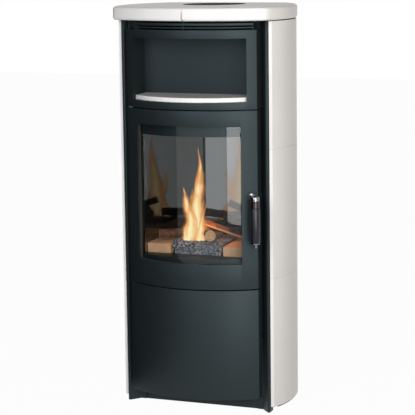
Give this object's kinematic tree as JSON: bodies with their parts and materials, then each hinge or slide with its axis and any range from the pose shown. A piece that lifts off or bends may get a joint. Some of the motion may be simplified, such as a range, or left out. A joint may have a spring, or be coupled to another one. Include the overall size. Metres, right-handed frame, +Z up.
{
  "type": "tiled wood stove",
  "caption": "Free-standing wood stove with a bowed steel front, a warming niche over a glazed fire door and a plain lower door, and glazed ceramic tiles on its sides and top.",
  "frame": {"origin": "on the floor, under the middle of the stove's bounding box", "axes": "+X to the viewer's right, the front with its doors faces -Y, +Z up"},
  "size_m": [0.577, 0.436, 1.281],
  "materials": {
    "tile": "cream-white gloss glaze",
    "body_paint": "satin metallic anthracite stove paint",
    "bare_steel": "plain sheet and bar steel",
    "foot_steel": "zinc plated",
    "handle_chrome": "polished",
    "handle_steel": "brushed",
    "handle_black": "smooth black, heat resistant",
    "cast_iron": "matt black-brown",
    "lining": "smooth, dark, mirror-like",
    "fire_brick": "fired clay, rough",
    "door_glass": "clear ceramic glass, bowed",
    "rope": "knitted glass-fibre rope",
    "embers": "loose ash and charcoal",
    "bark": "split and round firewood with bark"
  },
  "bodies": {
    "stove": {"left_lower_tile": "tile", "left_middle_tile": "tile", "left_upper_tile": "tile", "right_lower_tile": "tile", "right_middle_tile": "tile", "right_upper_tile": "tile", "left_top_tile": "tile", "right_top_tile": "tile", "plinth_base": "body_paint", "left_front_post": "body_paint", "right_front_post": "body_paint", "left_side_panel": "body_paint", "right_side_panel": "body_paint", "rear_panel": "body_paint", "top_support_plate": "body_paint", "convection_grille": "body_paint", "niche_frame": "body_paint", "niche_liner": "body_paint", "firebox_body": "body_paint", "hearth_lip": "body_paint", "lower_compartment_liner": "body_paint", "upper_hinge_plate": "bare_steel", "middle_hinge_plate": "bare_steel", "lower_hinge_plate": "bare_steel", "lower_door_magnet_catch": "bare_steel", "latch_keeper": "bare_steel", "left_front_foot": "foot_steel", "left_rear_foot": "foot_steel", "right_front_foot": "foot_steel", "right_rear_foot": "foot_steel", "flue_collar": "cast_iron", "fire_grate": "cast_iron", "left_lining": "lining", "right_lining": "lining", "back_lining": "lining", "baffle_plate": "fire_brick", "left_floor_brick": "fire_brick", "right_floor_brick": "fire_brick", "rear_floor_brick": "fire_brick", "ember_bed": "embers", "front_log": "bark", "left_log": "bark", "back_log": "bark", "leaning_log": "bark"},
    "fire_door": {"fire_door_frame": "body_paint", "door_glass": "door_glass", "upper_glass_clamp": "bare_steel", "lower_glass_clamp": "bare_steel", "door_rope_seal": "rope"},
    "handle": {"handle_lever": "handle_chrome", "handle_collar": "handle_steel", "handle_grip": "handle_black", "handle_end_cap": "handle_chrome", "latch_tongue": "bare_steel"},
    "lower_door": {"lower_door": "body_paint"},
    "ash_pan": {"ash_pan": "bare_steel"},
    "air_slide": {"air_control_slide": "bare_steel"},
    "flue_cover": {"flue_cover": "cast_iron"},
    "shelf": {"shelf_tile": "tile"}
  },
  "joints": [
    {"name": "fire_door_hinge", "type": "hinge", "parent": "stove", "child": "fire_door", "pos_m": [-0.203, -0.13, 0.68575], "axis": [0, 0, -1], "range_deg": [0, 100]},
    {"name": "handle_turn", "type": "hinge", "parent": "fire_door", "child": "handle", "pos_m": [0.2, -0.14996, 0.699], "axis": [0.5431, -0.8397, 0], "range_deg": [0, 70]},
    {"name": "lower_door_hinge", "type": "hinge", "parent": "stove", "child": "lower_door", "pos_m": [-0.203, -0.13, 0.22745], "axis": [0, 0, -1], "range_deg": [0, 95]},
    {"name": "ash_pan_slide", "type": "slide", "parent": "stove", "child": "ash_pan", "axis": [0, -1, 0], "range_m": [0, 0.06]},
    {"name": "air_control", "type": "slide", "parent": "stove", "child": "air_slide", "axis": [1, 0, 0], "range_m": [-0.05, 0.05]},
    {"name": "flue_cover_lift", "type": "slide", "parent": "stove", "child": "flue_cover", "axis": [0, 0, 1], "range_m": [0, 0.06]},
    {"name": "shelf_draw", "type": "slide", "parent": "stove", "child": "shelf", "axis": [0, -1, 0], "range_m": [0, 0.17]}
  ]
}
